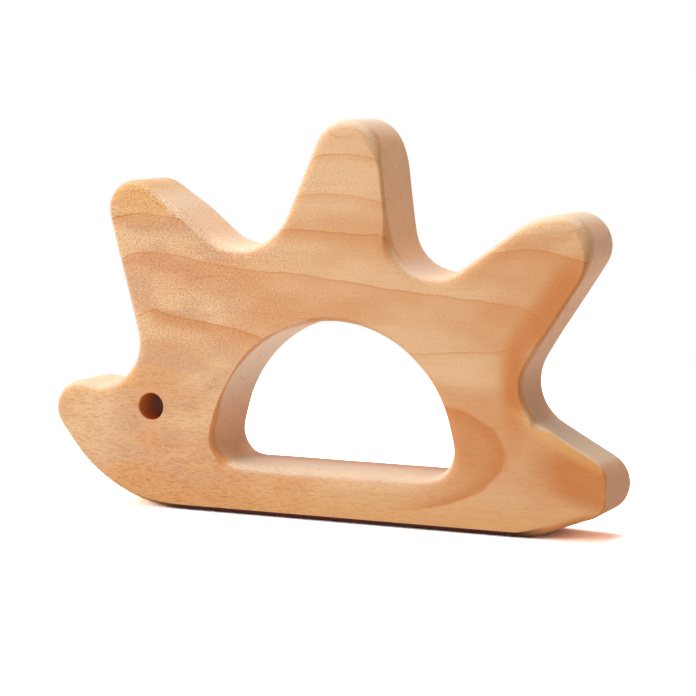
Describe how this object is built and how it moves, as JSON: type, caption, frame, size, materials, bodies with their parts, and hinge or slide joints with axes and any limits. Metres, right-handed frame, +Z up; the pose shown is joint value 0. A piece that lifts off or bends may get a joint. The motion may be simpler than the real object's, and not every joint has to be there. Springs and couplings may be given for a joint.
{
  "type": "wooden hedgehog figure",
  "caption": "Flat hedgehog silhouette in solid wood that stands on its belly, with rounded edges, blunt spines along the back, a drilled eye and a D-shaped grip hole.",
  "frame": {"origin": "on the floor, under the middle of the figure's length and thickness", "axes": "+X from the nose towards the tail, +Y through the board's thickness, +Z up"},
  "size_m": [0.105, 0.015, 0.0697],
  "materials": {
    "wood": "fine-sanded, satin, unpainted"
  },
  "bodies": {
    "root": {"hedgehog_body": "wood"}
  },
  "joints": []
}
